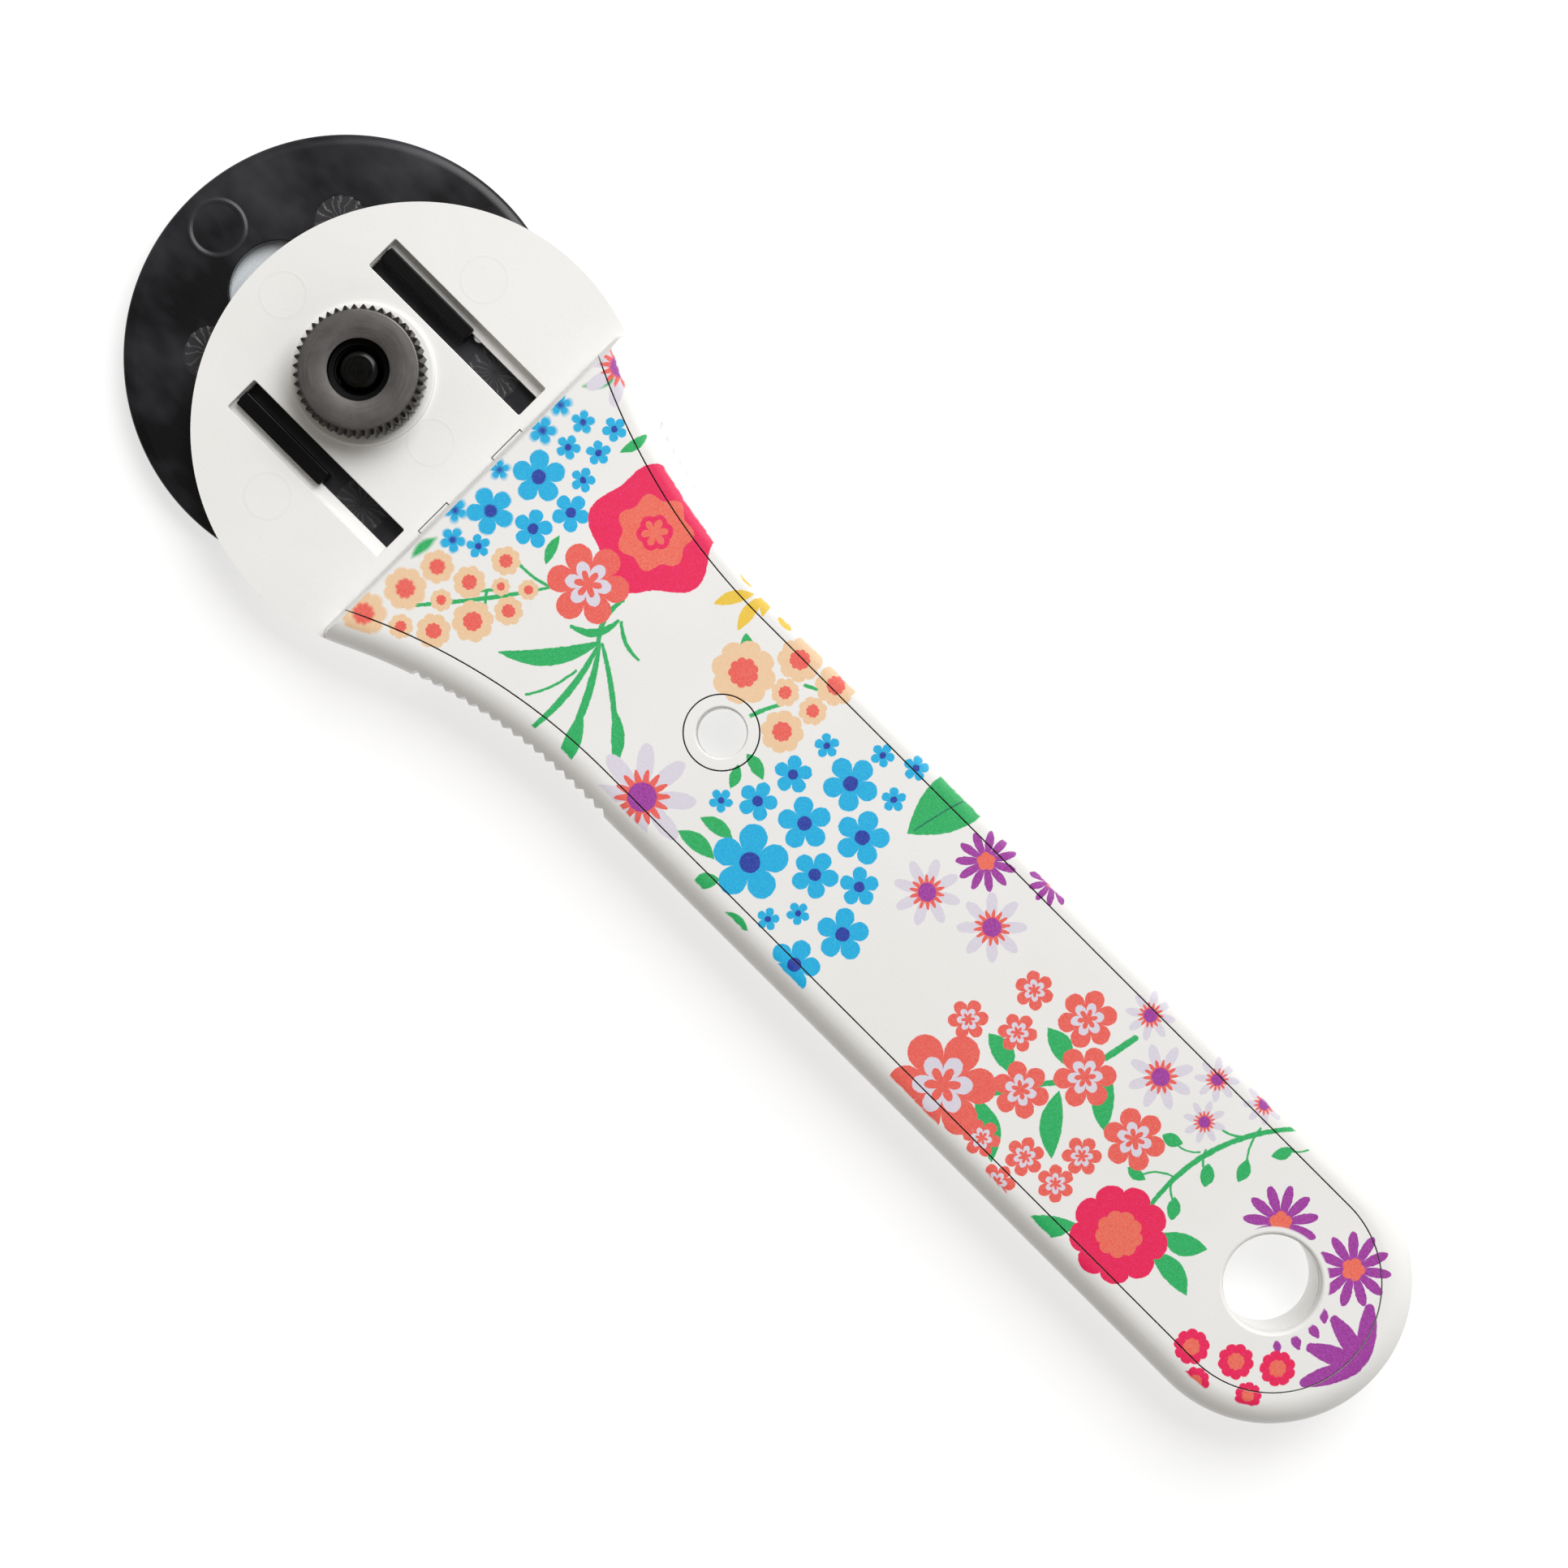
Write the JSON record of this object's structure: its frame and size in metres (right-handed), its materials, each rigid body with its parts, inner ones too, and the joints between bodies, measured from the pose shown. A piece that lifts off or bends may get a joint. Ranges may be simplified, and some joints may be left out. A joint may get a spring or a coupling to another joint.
{
  "type": "rotary cutter",
  "caption": "Fabric rotary cutter: straight flat white handle with a floral back cover, hanging hole, round steel blade, sliding black guard and knurled nut.",
  "frame": {"origin": "on the blade axis, on the bolt head's flat outer face, which lies in the plane of the handle's front face", "axes": "+X from the blade axis along the handle to the hanging hole, +Z from the blade side to the nut side"},
  "size_m": [0.1864, 0.0508, 0.0131],
  "materials": {
    "white_plastic": "fine matte moulded",
    "printed_plastic": "matte moulded with a printed floral pattern",
    "blackened_steel": "blackened steel, satin",
    "blade_steel": "ground and polished tool steel",
    "black_plastic": "satin moulded with faint flow marks",
    "spring_steel": "spring steel",
    "nut_steel": "blackened steel, turned face"
  },
  "bodies": {
    "handle": {"handle_body": "white_plastic", "back_cover": "printed_plastic", "bolt": "blackened_steel"},
    "guard": {"blade_guard": "black_plastic"},
    "blade": {"blade": "blade_steel"},
    "washer": {"spring_washer": "spring_steel"},
    "nut": {"nut": "nut_steel"}
  },
  "joints": [
    {"name": "guard_slide", "type": "slide", "parent": "handle", "child": "guard", "axis": [1, 0, 0], "range_m": [0, 0.01]},
    {"name": "blade_spin", "type": "hinge", "parent": "handle", "child": "blade", "pos_m": [0, 0, 0.00195], "axis": [0, 0, 1], "continuous": true},
    {"name": "washer_lift", "type": "slide", "parent": "handle", "child": "washer", "axis": [0, 0, 1], "range_m": [0, 0.0016]},
    {"name": "nut_spin", "type": "hinge", "parent": "washer", "child": "nut", "pos_m": [0, 0, 0.0081], "axis": [0, 0, 1], "range_deg": [0, 720]}
  ],
  "couplings": [
    {"joint": "washer_lift", "follows": "nut_spin", "m_per_rad": 0.00012732}
  ]
}
